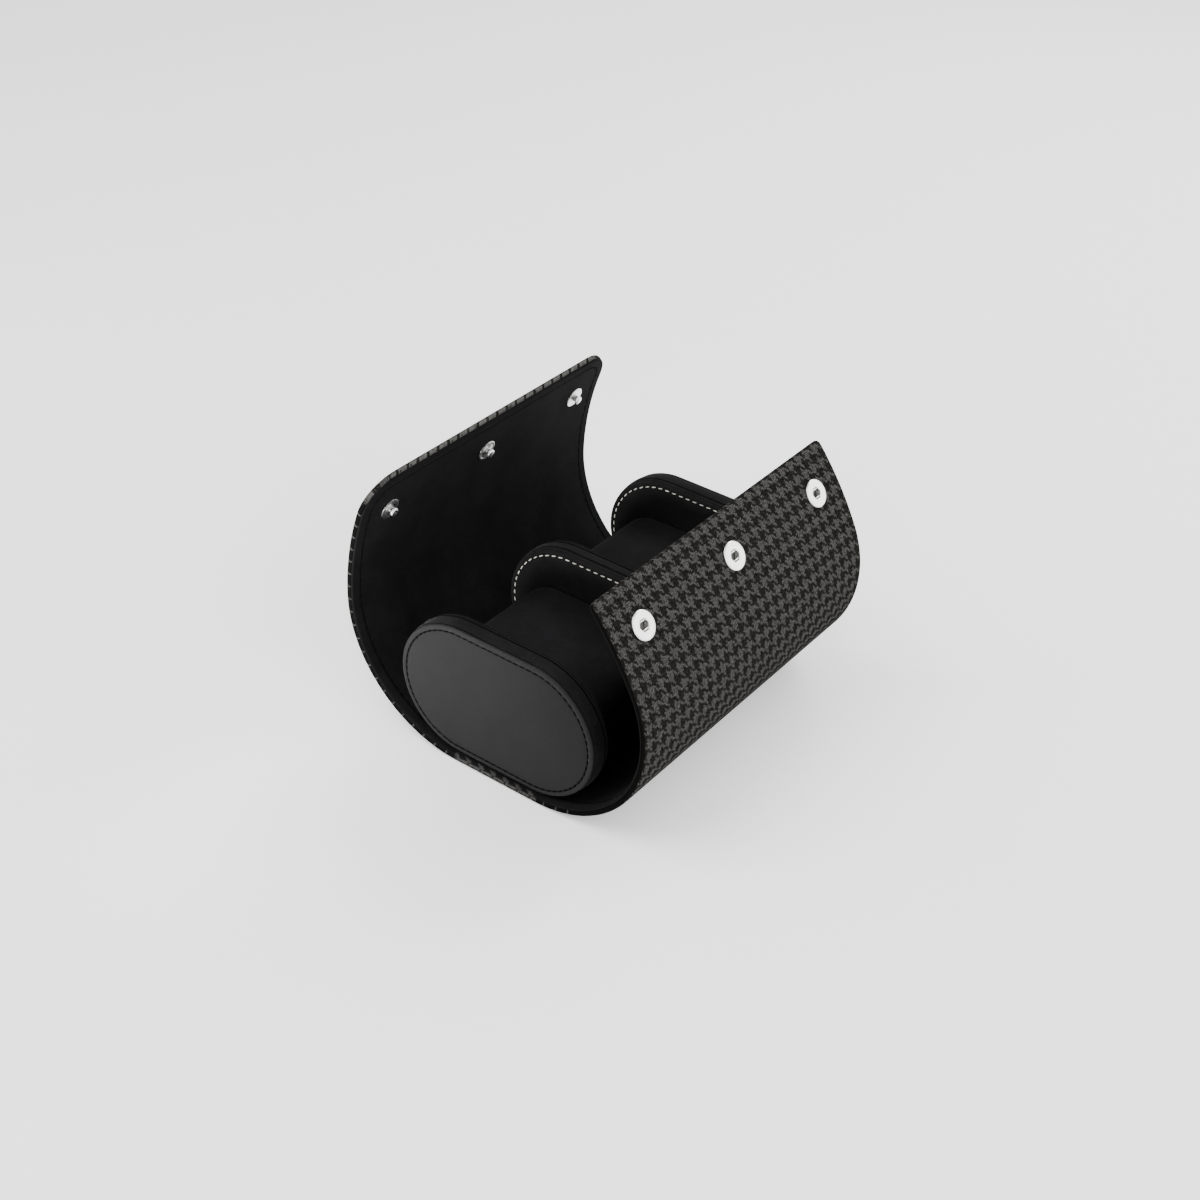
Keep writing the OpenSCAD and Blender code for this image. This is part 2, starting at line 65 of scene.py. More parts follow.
# %% Helpers for selecting and editing
def clear_selection():
    if bpy.context.object and bpy.context.object.mode != "OBJECT":
        bpy.ops.object.mode_set(mode="OBJECT")
    bpy.ops.object.select_all(action="DESELECT")


def focus(piece):
    clear_selection()
    piece.select_set(True)
    bpy.context.view_layer.objects.active = piece


def edit(piece, mode="VERT"):
    focus(piece)
    bpy.ops.object.mode_set(mode="EDIT")
    bpy.ops.mesh.select_mode(type=mode)
    bpy.ops.mesh.select_all(action="DESELECT")


def done():
    bpy.ops.object.mode_set(mode="OBJECT")


def pick(piece, kind, test):
    """Selects the vertices, edges or faces for which test is true."""
    bpy.ops.object.mode_set(mode="OBJECT")
    mesh = piece.data
    groups = {"VERT": mesh.vertices, "EDGE": mesh.edges, "FACE": mesh.polygons}
    for group in groups.values():
        group.foreach_set("select", [False] * len(group))
    for item in groups[kind]:
        if test(item):
            item.select = True
    bpy.ops.object.mode_set(mode="EDIT")
    bpy.ops.mesh.select_mode(type=kind)


def pick_all():
    bpy.ops.mesh.select_all(action="SELECT")


def corners(piece, item):
    """The places of an edge's or a face's vertices."""
    return [piece.data.vertices[i].co for i in item.vertices]


def push(x, y, z):
    """Extrudes the selected faces and moves the new ones."""
    bpy.ops.mesh.extrude_region_move(TRANSFORM_OT_translate={"value": (x, y, z)})


# %% Helpers for whole pieces
def apply_place(piece):
    focus(piece)
    bpy.ops.object.transform_apply(location=True, rotation=True, scale=True)


def modifier(piece, kind, apply=True, **settings):
    added = piece.modifiers.new(kind.lower(), kind)
    for key, value in settings.items():
        setattr(added, key, value)
    if apply:
        apply_modifier(piece, added)
    return added


def apply_modifier(piece, added):
    focus(piece)
    bpy.ops.object.modifier_apply(modifier=added.name)


def face_outward(piece):
    edit(piece)
    pick_all()
    bpy.ops.mesh.normals_make_consistent(inside=False)
    done()


def smooth(piece, angle=35):
    focus(piece)
    bpy.ops.object.shade_smooth_by_angle(angle=math.radians(angle))


def puffed(piece):
    """Rounds a piece off by one level of subdivision."""
    modifier(piece, "SUBSURF", levels=1, render_levels=1)
    focus(piece)
    bpy.ops.object.shade_smooth()
    return piece


def to_metres(piece):
    piece.data.transform(Matrix.Scale(MM, 4))


def stand(piece, place, forward, up):
    """Puts a model that is drawn with x forward and z up at its place."""
    x_axis = Vector(forward).normalized()
    z_axis = Vector(up).normalized()
    turn = Matrix((x_axis, z_axis.cross(x_axis), z_axis)).transposed().to_4x4()
    piece.data.transform(Matrix.Translation(Vector(place)) @ turn)


def joined(pieces, name):
    clear_selection()
    for piece in pieces:
        piece.select_set(True)
    bpy.context.view_layer.objects.active = pieces[0]
    bpy.ops.object.join()
    pieces[0].name = name
    return pieces[0]


def copied(piece, name):
    twin = piece.copy()
    twin.data = piece.data.copy()
    twin.name = name
    bpy.context.collection.objects.link(twin)
    return twin


def dress(piece, finish, record_slot):
    piece.data.materials.clear()
    piece.data.materials.append(finish)
    return piece


# %% [markdown]
# ## The wrap's curved section
# The sheet is measured round its outer face by arc length t, with t = 0
# under the dividers, negative towards the lid and positive towards the
# front flap. Each side is a flat stretch and two arcs, of radius r1 and r2
# and angle a1 and a2. The values repeat the CAD's, and the function turns t
# and a depth below the outer face into a place in the roll.

# %% The section as a function
WRAP_HALF = 72.9
WALL = 3.0
COVER_BACK = 2.2
STITCH_INSET = 4.6
STITCH_PITCH = 3.7
SECTION = {
    "lid": {"side": -1, "flat": 18.0, "r1": 53.9, "a1": math.radians(91.9), "r2": 124.6, "a2": math.radians(24.9)},
    "front": {"side": 1, "flat": 20.8, "r1": 48.9, "a1": math.radians(115.8), "r2": 143.4, "a2": math.radians(15.1)},
}
REACH = {flap: f["flat"] + f["a1"] * f["r1"] + f["a2"] * f["r2"] for flap, f in SECTION.items()}


def wrap_place(t, depth):
    """Place (x, z) and heading of a point of the wrap, in millimetres."""
    f = SECTION["lid" if t < 0 else "front"]
    r1, a1, r2 = f["r1"], f["a1"], f["r2"]
    s = abs(t) - f["flat"]
    if s <= 0:
        return t, depth, 0.0
    if s <= a1 * r1:
        h = s / r1
        x, z = r1 * math.sin(h), r1 * (1 - math.cos(h))
    else:
        h = a1 + (s - a1 * r1) / r2
        x = r1 * math.sin(a1) + r2 * (math.sin(h) - math.sin(a1))
        z = r1 * (1 - math.cos(a1)) + r2 * (math.cos(a1) - math.cos(h))
    x, z = x - depth * math.sin(h), z + depth * math.cos(h)
    return f["side"] * (f["flat"] + x), z, h


SNAP_PITCH = 56.5
STUD_T = -(REACH["lid"] - 20.0)
SOCKET_T = REACH["front"] - 17.0
print("reach of the sheet from the middle, mm:", REACH)

# %% Where the dividers stand
DIVIDER_R = 29.0
DIVIDER_STRAIGHT = 17.2
AXIS_H = 32.3
DIVIDER_HALF = 5.1
LINE_R = DIVIDER_R - 2.7
BAND_SIDE = DIVIDER_HALF - 1.2
LEATHER_SIDE = DIVIDER_HALF - 1.4
BAND_SEAM = 1.7
NEAR_Y = -WRAP_HALF + 1.6 + DIVIDER_HALF
DIVIDER_Y = {"near": NEAR_Y, "middle": -1.0, "far": -NEAR_Y}
print("dividers at y, mm:", DIVIDER_Y)

# %% [markdown]
# ## Finishes
# Each finish is a small node tree. Colour, roughness and a fine bump follow
# noise at the scale of the real nap, grain or yarn. Math nodes are hard to
# read in code, so a small class stands for a number that varies over the
# surface: adding or comparing two of them adds the node that does it.


# %% Nodes and fields
def plug(value, socket):
    """Gives a socket a number, a colour, another node's output or a field."""
    if isinstance(value, Field):
        value = value.socket
    if isinstance(value, bpy.types.NodeSocket):
        socket.id_data.links.new(value, socket)
    elif isinstance(value, tuple) and socket.type == "RGBA":
        socket.default_value = (*value, 1)
    else:
        socket.default_value = value


def feed(node, inputs):
    for key, value in inputs.items():
        if value is not None:
            plug(value, node.inputs[key])
    return node


def add(tree, kind, inputs, **settings):
    node = tree.nodes.new("ShaderNode" + kind)
    for key, value in settings.items():
        setattr(node, key, value)
    return feed(node, inputs)


class Field:
    """A number that varies over a surface, as one output in a node tree."""

    def __init__(self, socket):
        self.socket, self.tree = socket, socket.id_data

    def calc(self, operation, *others, before=()):
        node = add(self.tree, "Math", dict(enumerate((*before, self, *others))), operation=operation)
        return Field(node.outputs[0])

    def __add__(self, other):
        return self.calc("ADD", other)

    def __sub__(self, other):
        return self.calc("SUBTRACT", other)

    def __rsub__(self, other):
        return self.calc("SUBTRACT", before=(other,))

    def __mul__(self, other):
        return self.calc("MULTIPLY", other)

    def __mod__(self, other):
        return self.calc("MODULO", other)

    def __lt__(self, other):
        return self.calc("LESS_THAN", other)

    def __gt__(self, other):
        return self.calc("GREATER_THAN", other)

    def __abs__(self):
        return self.calc("ABSOLUTE")

    def spread(self, low, high, to_low=0, to_high=1):
        """Maps low..high to the second range, and stays there beyond it."""
        ends = {"From Min": low, "From Max": high, "To Min": to_low, "To Max": to_high}
        node = add(self.tree, "MapRange", {"Value": self, **ends})
        return Field(node.outputs["Result"])

    def mix(self, first, second):
        """The first colour where the field is 0, the second where it is 1."""
        inputs = {"Factor": self, 6: first, 7: second}
        return add(self.tree, "Mix", inputs, data_type="RGBA").outputs[2]

    def bump(self, strength, distance, normal=None):
        inputs = {"Height": self, "Strength": strength, "Distance": distance, "Normal": normal}
        return add(self.tree, "Bump", inputs).outputs["Normal"]


# %% Helpers for materials
def new_finish(name, color, roughness, **sockets):
    finish = bpy.data.materials.new(name)
    finish.use_nodes = True
    finish.diffuse_color = (*color, 1)
    tree = finish.node_tree
    shader = tree.nodes["Principled BSDF"]
    feed(shader, {"Base Color": color, "Roughness": roughness})
    feed(shader, {key.replace("_", " "): value for key, value in sockets.items()})
    return finish, tree, shader


def noise(vector, scale, detail=3.0, roughness=0.55, output="Fac"):
    inputs = {"Vector": vector, "Scale": scale, "Detail": detail, "Roughness": roughness}
    return Field(add(vector.id_data, "TexNoise", inputs).outputs[output])


def split(vector):
    """The x, y and z of a vector, as fields."""
    return [Field(output) for output in add(vector.id_data, "SeparateXYZ", {0: vector}).outputs]


def vector_math(operation, first, second):
    inputs = {0: first, "Scale" if operation == "SCALE" else 1: second}
    return add(first.id_data, "VectorMath", inputs, operation=operation).outputs[0]


def object_vector(tree):
    return add(tree, "TexCoord", {}).outputs["Object"]


def uv_vector(tree, uv_map):
    return add(tree, "UVMap", {}, uv_map=uv_map).outputs["UV"]


def times(color, factor):
    return tuple(factor * c for c in color)


# %% [markdown]
# ### Houndstooth
# Houndstooth is a weave before it is a picture: four dark and four light
# yarns in turn, both ways, in a two-up two-down twill. The nodes do just
# that. They number the yarns from the cloth's own UV map, which is in metres
# along the sheet, ask which yarn lies on top, and take that yarn's colour.

# %% Places on the sheet
REPEAT_ALONG = 5.75 * MM
REPEAT_AROUND = 6.02 * MM
YARNS = 8
WEAVE_DARK = (0.0046, 0.0044, 0.0041)
WEAVE_LIGHT = (0.047, 0.0459, 0.0438)
EDGE_PAINT = (0.0048, 0.0047, 0.0045)
WANDER = 1.3 * MM
HEM_FROM, HEM_TO = -18.5, 21.5
HEM_WIDTH = 1.5
STROKES_TO = 40.0
FAR_AWAY = 100.0  # whole repeats, so that no yarn's number is negative


def sheet_end(v):
    """How far the sheet reaches on a point's side of the middle."""
    return (v < 0.0) * ((REACH["lid"] - REACH["front"]) * MM) + REACH["front"] * MM


def edge_distance(u, v):
    """How far inside the sheet's edge a point lies, with its round corners."""
    corner = (v < 0.0) * (12.5 * MM) + 2.5 * MM
    across = abs(u) - WRAP_HALF * MM + corner
    onward = abs(v) - sheet_end(v) + corner
    squares = [side.calc("MAXIMUM", 0.0).calc("POWER", 2.0) for side in (across, onward)]
    outside = (squares[0] + squares[1]).calc("SQRT")
    inside = across.calc("MAXIMUM", onward).calc("MINIMUM", 0.0)
    return corner - outside - inside


def on_hem(v):
    return (v > HEM_FROM * MM) * (v < HEM_TO * MM)


def cut_edge(u, v, ragged):
    """Black paint on the cut edge, and the pale yarn ends that cross it."""
    beyond = abs(u) - WRAP_HALF * MM + (ragged - 0.5) * (1.0 * MM)
    past_end = abs(v) - sheet_end(v)
    paint = beyond.spread(0.4 * MM, 0.9 * MM) * (1.0 - on_hem(v))
    paint = paint.calc("MAXIMUM", past_end.spread(0.9 * MM, 1.1 * MM))
    slanted = v * (1 / REPEAT_AROUND) - beyond * (0.05 / MM)
    wedge = 0.23 - beyond * (0.05 / MM)
    stroke = (slanted + FAR_AWAY).calc("FRACT") < wedge
    return paint, stroke * (beyond > -0.2 * MM) * (v < STROKES_TO * MM), past_end.spread(0.0, 0.2 * MM)


# %% Houndstooth cloth
def houndstooth():
    cloth, tree, shader = new_finish("houndstooth_wool", WEAVE_LIGHT, 0.95, Specular_IOR_Level=0.0)
    uv = uv_vector(tree, "cloth")
    u, v, _ = split(uv)
    # Soft yarns wander, so noise moves the pattern about a little
    wave = noise(uv, 1100, 2, 0.5, "Color").socket
    offset = vector_math("SUBTRACT", wave, (0.5, 0.5, 0.5))
    moved = split(vector_math("ADD", uv, vector_math("SCALE", offset, WANDER)))
    along = moved[0] * (YARNS / REPEAT_ALONG) + FAR_AWAY * YARNS
    around = moved[1] * (YARNS / REPEAT_AROUND) + FAR_AWAY * YARNS
    half = YARNS / 2
    warp, weft = along.calc("FLOOR"), around.calc("FLOOR")
    warp_dark, weft_dark = warp % YARNS < half, weft % YARNS < half
    warp_up = (warp + weft) % half < half / 2
    weft_up = 1.0 - warp_up
    dark = warp_up * warp_dark + weft_up * weft_dark
    warp_round, weft_round = ((place.calc("FRACT") * math.pi).calc("SINE") for place in (along, around))
    yarn = warp_up * warp_round + weft_up * weft_round
    fleck = noise(uv, 1000, 4, 0.8)
    flecks = fleck.spread(0.34, 0.66)
    light = flecks.mix(times(WEAVE_LIGHT, 0.3), times(WEAVE_LIGHT, 1.8))
    deep = flecks.mix(times(WEAVE_DARK, 0.5), times(WEAVE_DARK, 3.0))
    paint, strokes, bright = cut_edge(u, v, noise(uv, 700, 2))
    light = bright.mix(light, times(WEAVE_LIGHT, 1.6))
    stray = noise(uv, 1700, 3, 0.7).spread(0.30, 0.70, -0.6, 0.6)
    woven = (dark + stray).spread(0.0, 1.0).mix(light, deep)
    color = strokes.mix(paint.mix(woven, EDGE_PAINT), times(WEAVE_LIGHT, 1.25))
    # Painted shade between the yarns and a painted highlight on their round crowns
    shaded = vector_math("SCALE", color, yarn.spread(0, 1, 0.5, 1.1))
    fuzz = fleck.bump(0.5, 0.15 * MM)
    feed(shader, {"Base Color": shaded, "Normal": yarn.bump(0.7, 0.25 * MM, fuzz)})
    return cloth


houndstooth_wool = houndstooth()
print("houndstooth repeat", REPEAT_ALONG, REPEAT_AROUND)

# %% [markdown]
# ### Suedes, leather, thread and metal
# Suede and suede cloth are matt: a fine nap bump, slightly uneven colour and
# a little sheen where the nap meets the light sideways. The smooth leather
# has small pebbles from a Voronoi pattern and a satin gloss. Snap metal is
# bright nickel with faint scratches.

# %% Suede
PAINTED_SEAM_SHADE = (0.0005, 0.0005, 0.0005)
PAINTED_GROOVE_SHADE = (0.0008, 0.0008, 0.0008)


def hem_teeth(uv, v, inside):
    """The light teeth of the hem where it laps over the lining's edge."""
    ragged = inside + (noise(uv, 900, 2) - 0.5) * (2.0 * MM)
    slanted = v * (1 / REPEAT_AROUND) + inside * (0.25 / MM)
    tooth = (slanted + FAR_AWAY).calc("FRACT") < noise(uv, 1200, 3) * 0.8
    return (ragged < HEM_WIDTH * MM) * on_hem(v) * tooth


def suede(name, low, high, nap=1500.0, sheen=0.02, wrapped=False, band_seams=()):
    sheens = {"Sheen_Weight": sheen, "Sheen_Roughness": 0.35}
    finish, tree, shader = new_finish(name, high, 0.95, Specular_IOR_Level=0.06, **sheens)
    where = object_vector(tree)
    hair = noise(where, nap, 4, 0.7)
    uneven = noise(where, 38, 5, 0.68) * 0.65 + hair * 0.35
    color = uneven.spread(0.38, 0.62).mix(low, high)
    normal = hair.bump(0.55, 0.2 * MM)
    if band_seams:
        # Painted shade darkens the suede along each seam, where the seam pulls it in
        y = split(where)[1]
        nearest = 1.0
        for place in band_seams:
            nearest = abs(y - place * MM).calc("MINIMUM", nearest)
        color = nearest.spread(0.2 * MM, 0.65 * MM).mix(PAINTED_SEAM_SHADE, color)
    if wrapped:
        # The stitches press a fine groove, with painted shade in it. At the base the hem's weave laps over
        uv = uv_vector(tree, "cloth")
        u, v, _ = split(uv)
        inside = edge_distance(u, v)
        groove = abs(inside - STITCH_INSET * MM).spread(0.15 * MM, 0.6 * MM)
        color = groove.mix(PAINTED_GROOVE_SHADE, color)
        color = hem_teeth(uv, v, inside).mix(color, times(WEAVE_LIGHT, 0.6))
        normal = groove.bump(0.8, 0.3 * MM, normal)
    feed(shader, {"Base Color": color, "Normal": normal})
    return finish


SEAM_OFF = BAND_SIDE - BAND_SEAM
MIDDLE_Y = DIVIDER_Y["middle"]
BAND_SEAMS = (NEAR_Y + SEAM_OFF, MIDDLE_Y - SEAM_OFF, MIDDLE_Y + SEAM_OFF, -NEAR_Y - SEAM_OFF)
lining_cloth = suede("black_suede_cloth", (0.0023, 0.0023, 0.0025), (0.0058, 0.0057, 0.0061), 1900.0, 0.012, True)
divider_suede = suede("black_divider_suede", (0.0034, 0.0034, 0.0035), (0.0074, 0.0074, 0.0075))
band_suede = suede("black_band_suede", (0.0039, 0.0039, 0.0040), (0.0084, 0.0084, 0.0085), band_seams=BAND_SEAMS)
cushion_suede = suede("charcoal_cushion_suede", (0.0038, 0.0037, 0.0041), (0.0080, 0.0077, 0.0084), 1400.0, 0.015)
print("band seams at y, mm:", BAND_SEAMS)


# %% Smooth leather
def smooth_leather(name, low, high):
    finish, tree, shader = new_finish(name, high, 0.5, Specular_IOR_Level=0.06)
    where = object_vector(tree)
    cells = add(tree, "TexVoronoi", {"Vector": where, "Scale": 1350}, feature="F1")
    pebble = 1.0 - Field(cells.outputs["Distance"])
    fine = noise(where, 3200, 3)
    color = noise(where, 30, 3).spread(0.3, 0.7).mix(low, high)
    # The border rolls over, lit by a painted highlight, and painted shade darkens the stitch line
    x, _, z = split(where)
    across = (abs(x) - DIVIDER_STRAIGHT * MM).calc("MAXIMUM", 0.0)
    upward = z - AXIS_H * MM
    beyond = (across * across + upward * upward).calc("SQRT") - LINE_R * MM
    color = beyond.spread(0.2 * MM, 0.6 * MM).mix(color, times(high, 1.12))
    color = abs(beyond).spread(0.2 * MM, 0.5 * MM).mix(times(low, 0.3), color)
    grain = pebble.bump(0.28, 0.08 * MM)
    feed(shader, {
        "Base Color": color,
        "Roughness": fine.spread(0.2, 0.8, 0.42, 0.6),
        "Normal": fine.bump(0.15, 0.05 * MM, grain),
    })
    return finish


panel_leather = smooth_leather("charcoal_panel_leather", (0.0082, 0.0082, 0.0084), (0.0106, 0.0106, 0.0108))
print("leather's nodes:", len(panel_leather.node_tree.nodes))


# %% Thread, nickel and board
def thread(name, low, high, shine):
    finish, tree, shader = new_finish(name, high, 0.8, Specular_IOR_Level=shine)
    fibre = noise(object_vector(tree), 4200, 2)
    color = fibre.spread(0.3, 0.7).mix(low, high)
    feed(shader, {"Base Color": color, "Normal": fibre.bump(0.5, 0.06 * MM)})
    return finish


def nickel_plate(name, color=(0.90, 0.895, 0.88), neck=None):
    """Bright metal; neck gives the heights in mm between which painted shade darkens it."""
    finish, tree, shader = new_finish(name, color, 0.3, Metallic=1.0)
    where = object_vector(tree)
    if neck:
        # Painted shade in the neck, under the stud's ball
        middle, half = (neck[0] + neck[1]) / 2 * MM, (neck[1] - neck[0]) / 2 * MM
        off_neck = abs(split(uv_vector(tree, "height"))[1] - middle)
        bright = off_neck.spread(half - 0.15 * MM, half + 0.15 * MM)
        feed(shader, {"Base Color": bright.mix(times(color, 0.08), color)})
    scratches = noise(where, 2500, 2).bump(0.03, 0.03 * MM)
    wear = noise(where, 700, 4).spread(0.3, 0.7, 0.24, 0.38)
    feed(shader, {"Roughness": wear, "Normal": scratches})
    return finish


def inner_stuff(name, color):
    finish, tree, shader = new_finish(name, color, 0.85)
    fibre = noise(object_vector(tree), 1200, 3)
    feed(shader, {"Base Color": fibre.mix(times(color, 0.8), color), "Normal": fibre.bump(0.3, 0.1 * MM)})
    return finish


cream_thread = thread("cream_thread", (0.38, 0.36, 0.325), (0.56, 0.54, 0.495), 0.2)
dark_thread = thread("dark_thread", (0.0008, 0.0008, 0.0008), (0.0022, 0.0022, 0.0022), 0.02)
nickel = nickel_plate("bright_nickel")
stud_nickel = nickel_plate("stud_nickel", neck=(0.8, 1.75))
# A copy of the nickel with painted shade, for metal that lies in shade inside
shaded_nickel = nickel_plate("shaded_nickel", (0.10, 0.099, 0.097))
inner_board = inner_stuff("brown_inner_board", (0.30, 0.25, 0.18))
inner_foam = inner_stuff("grey_inner_foam", (0.12, 0.12, 0.13))
print("finishes:", len(bpy.data.materials))

# %% [markdown]
# ## Folds and strips
# The CAD model bends each flap at three folds. The strips' cuts meet edge
# to edge and the weave's UV map runs on over them.

# %% Strips and their folds
FREE_CORNER = {"lid_top": 15.0, "front_top": 2.5}
FOLD_HALF = 8.0


class Strip:
    """A strip from one cut to the next, or to the sheet's end, over one fold."""

    def __init__(self, name, start, end, fold, body_before, body_after):
        self.name, self.start, self.end, self.fold = name, start, end, fold
        self.bodies = (body_before, body_after)
        self.away = 1 if end > start else -1
        self.free = name in FREE_CORNER
        self.corner = FREE_CORNER.get(name, 0)

    def last(self, inset):
        """Where the strip ends, when a free end is drawn in by an inset."""
        return self.end - self.away * inset if self.free else self.end


STRIPS = [
    Strip("lid_base", 0.0, -52.0, -34.0, "base", "lid_root"),
    Strip("lid_low", -52.0, -91.5, -70.0, "lid_root", "lid_middle"),
    Strip("lid_top", -91.5, -REACH["lid"], -113.0, "lid_middle", "lid_tip"),
    Strip("front_base", 0.0, 45.3, 28.8, "base", "front_root"),
    Strip("front_low", 45.3, 79.3, 61.8, "front_root", "front_middle"),
    Strip("front_top", 79.3, REACH["front"], 96.8, "front_middle", "front_tip"),
]


def bend_over_fold(piece, strip):
    x1, z1, _ = wrap_place(strip.fold - strip.away * FOLD_HALF, 0)
    x2, z2, _ = wrap_place(strip.fold + strip.away * FOLD_HALF, 0)
    x1 * MM
    z1 * MM
    x2 * MM
    z2 * MM
    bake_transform(piece)


def wrap_round(piece):
    """Bends a flat piece, drawn with x = t, y and z = depth in mm."""
    for vertex in piece.data.vertices:
        t, y, depth = vertex.co
        x, z, _ = wrap_place(t, depth)
        vertex.co = (x * MM, y * MM, z * MM)
    piece.data.update()


print("strips:", [strip.name for strip in STRIPS])

# %% [markdown]
# ## The cover and its rolled edge
# The cover is turned over the board along the wrap's edge. Each strip starts
# as a flat plane: its free corners are bevelled, it is extruded to the depth
# of cover and board, its outer edges are rounded, and the back is inset and
# opened, which leaves the narrow hem. Solidify gives the cloth its thickness.


# %% Flat plates for a strip
def flat_plate(name, strip, low, high, inset, corner):
    last = strip.last(inset)
    clear_selection()
    bpy.ops.mesh.primitive_plane_add(size=1, location=((strip.start + last) / 2, 0, low))
    plate = bpy.context.object
    plate.name = name
    plate.scale = (abs(last - strip.start), 2 * (WRAP_HALF - inset), 1)
    apply_place(plate)
    if strip.free:
        edit(plate)
        pick(plate, "VERT", lambda v: abs(v.co.x - last) < TOUCH)
        bpy.ops.mesh.bevel(offset=corner, segments=14, affect="VERTICES")
        done()
    edit(plate, "FACE")
    pick_all()
    push(0, 0, high - low)
    done()
    face_outward(plate)
    return plate


def all_on_a_cut(strip, points):
    """True where all the points lie on one of the strip's cuts."""
    cuts = [strip.start] if strip.free else [strip.start, strip.end]
    return any(all(abs(co.x - cut) < TOUCH for co in points) for cut in cuts)


def round_edges(plate, strip, levels, radius, segments):
    """Rounds the plate's outer edges at the given depths, but not its cuts."""
    def outer(edge):
        ends = corners(plate, edge)
        level = any(all(abs(co.z - h) < TOUCH for co in ends) for h in levels)
        return level and not all_on_a_cut(strip, ends)

    edit(plate, "EDGE")
    pick(plate, "EDGE", outer)
    bpy.ops.mesh.bevel(offset=radius, segments=segments, profile=0.5, clamp_overlap=False)
    done()


def slice_for_bending(plate, strip, step=1.5):
    low, high = sorted((strip.start, strip.end))
    count = int((high - low) / step)
    edit(plate)
    for n in range(1, count):
        pick_all()
        bpy.ops.mesh.bisect(plane_co=(low + n * (high - low) / count, 0, 0), plane_no=(1, 0, 0))
    done()


# %% The cloth's own map
# How far the pattern runs on, and slants, for each mm down the rolled edge
SIDE_RUN, END_RUN, END_SLANT = 1.8, 0.5, 0.8


def over_edge(place, edge):
    """0 on the flat of the sheet and 1 where it has turned over its edge."""
    return max(0.0, min(1.0, (abs(place) - edge + 1.6) / 1.2))


def map_cloth(plate, strip, rolled=True):
    """UV in metres: x along the roll and y round it, running on over the edge."""
    layer = plate.data.uv_layers.new(name="cloth")
    for loop in plate.data.loops:
        v, u, depth = plate.data.vertices[loop.vertex_index].co
        if rolled:
            past = depth * over_edge(v, abs(strip.end)) if strip.free else 0.0
            u += math.copysign(depth * SIDE_RUN, u) * over_edge(u, WRAP_HALF) + END_SLANT * past
            v += strip.away * END_RUN * past
        layer.data[loop.index].uv = (u * MM, v * MM)


# %% Make the cover
EDGE_ROUND = 0.85
CLOTH = 0.6


def punch_socket_holes(plate, radius=2.8):
    """Opens the front flap's cover under its three sockets."""
    for n in (-1, 0, 1):
        clear_selection()
        place = (SOCKET_T, n * SNAP_PITCH, 0)
        bpy.ops.mesh.primitive_cylinder_add(vertices=32, radius=radius, depth=8, location=place)
        punch = bpy.context.object
        modifier(plate, "BOOLEAN", operation="DIFFERENCE", solver="EXACT", object=punch)
        bpy.data.objects.remove(punch)


def make_cover(strip):
    plate = flat_plate("cover_" + strip.name, strip, 0.0, COVER_BACK, 0.0, strip.corner)
    round_edges(plate, strip, (0.0, COVER_BACK), EDGE_ROUND, 5)
    edit(plate, "FACE")
    pick(plate, "FACE", lambda f: all_on_a_cut(strip, corners(plate, f)))
    bpy.ops.mesh.delete(type="FACE")
    pick(plate, "FACE", lambda f: f.center.z > COVER_BACK - TOUCH and abs(f.normal.z) > 0.99)
    bpy.ops.mesh.inset(thickness=HEM_WIDTH - EDGE_ROUND, depth=0, use_boundary=False)
    bpy.ops.mesh.delete(type="FACE")
    done()
    modifier(plate, "SOLIDIFY", thickness=CLOTH, offset=-1)
    slice_for_bending(plate, strip)
    if strip.name == "front_top":
        punch_socket_holes(plate)
    map_cloth(plate, strip)
    return plate


def bent_and_dressed(plate, finish, record_slot):
    wrap_round(plate)
    face_outward(plate)
    smooth(plate)
    return dress(plate, finish, record_slot)


covers = {s.name: bent_and_dressed(make_cover(s), houndstooth_wool, "woven_cover") for s in STRIPS}
for cover in covers.values():
    print(cover.name, len(cover.data.polygons), "faces")

# %% [markdown]
# ## The lining
# The suede cloth lining is glued on the board and over the hem, a hair short
# of the edge, so that only a thread of houndstooth shows round it. It is the
# same flat plate again, thinner, with its upper edge rounded.

# %% Make the lining
LINING_INSET = 0.3
LINING_LOW = 2.22


def make_lining(strip):
    corner = max(strip.corner - LINING_INSET, 1.5)
    plate = flat_plate("lining_" + strip.name, strip, LINING_LOW, WALL, LINING_INSET, corner)
    round_edges(plate, strip, (WALL,), 0.5, 4)
    slice_for_bending(plate, strip)
    map_cloth(plate, strip, rolled=False)
    return plate


linings = {s.name: bent_and_dressed(make_lining(s), lining_cloth, "lining") for s in STRIPS}
print("lining strips:", len(linings))

# %% [markdown]
# ## Stitches of the wrap
# A row of dark stitches runs round the wrap, about 5 mm in from its edge.
# One stitch is modelled, a short thread with sunken ends, and copied along
# the row. The stitches of each strip are one mesh.


# %% One stitch and a row of them
def thread_stitch(length, width, height):
    """A short thread along x on the plane z = 0, in metres."""
    clear_selection()
    bpy.ops.mesh.primitive_cube_add(size=1, location=(0, 0, height * 0.32))
    stitch = bpy.context.object
    stitch.scale = (length * 0.62, width, height)
    apply_place(stitch)
    edit(stitch, "FACE")
    for side in (-1, 1):
        pick(stitch, "FACE", lambda f: f.normal.x * side > 0.9)
        push(side * length * 0.19, 0, -height * 0.45)
        bpy.ops.transform.resize(value=(1, 0.55, 0.6))
    done()
    return puffed(stitch)


def stitch_row(points, model, name):
    """Copies of the model at (place, direction, up) along a row, joined."""
    copies = []
    for n, point in enumerate(points):
        copies.append(copied(model, f"{name}_{n}"))
        stand(copies[-1], *point)
    return joined(copies, name)


# %% Places of the wrap's stitches
STITCH_Y = WRAP_HALF - STITCH_INSET
SUNK = 0.2


def open_line(strip):
    """Points (t, y) and directions along both sides of a strip with two cuts."""
    length = abs(strip.end - strip.start)
    count = max(1, round(length / STITCH_PITCH))
    places = [strip.start + strip.away * (n + 0.5) * length / count for n in range(count)]
    return [((t, y), (strip.away, 0)) for t in places for y in (STITCH_Y, -STITCH_Y)]


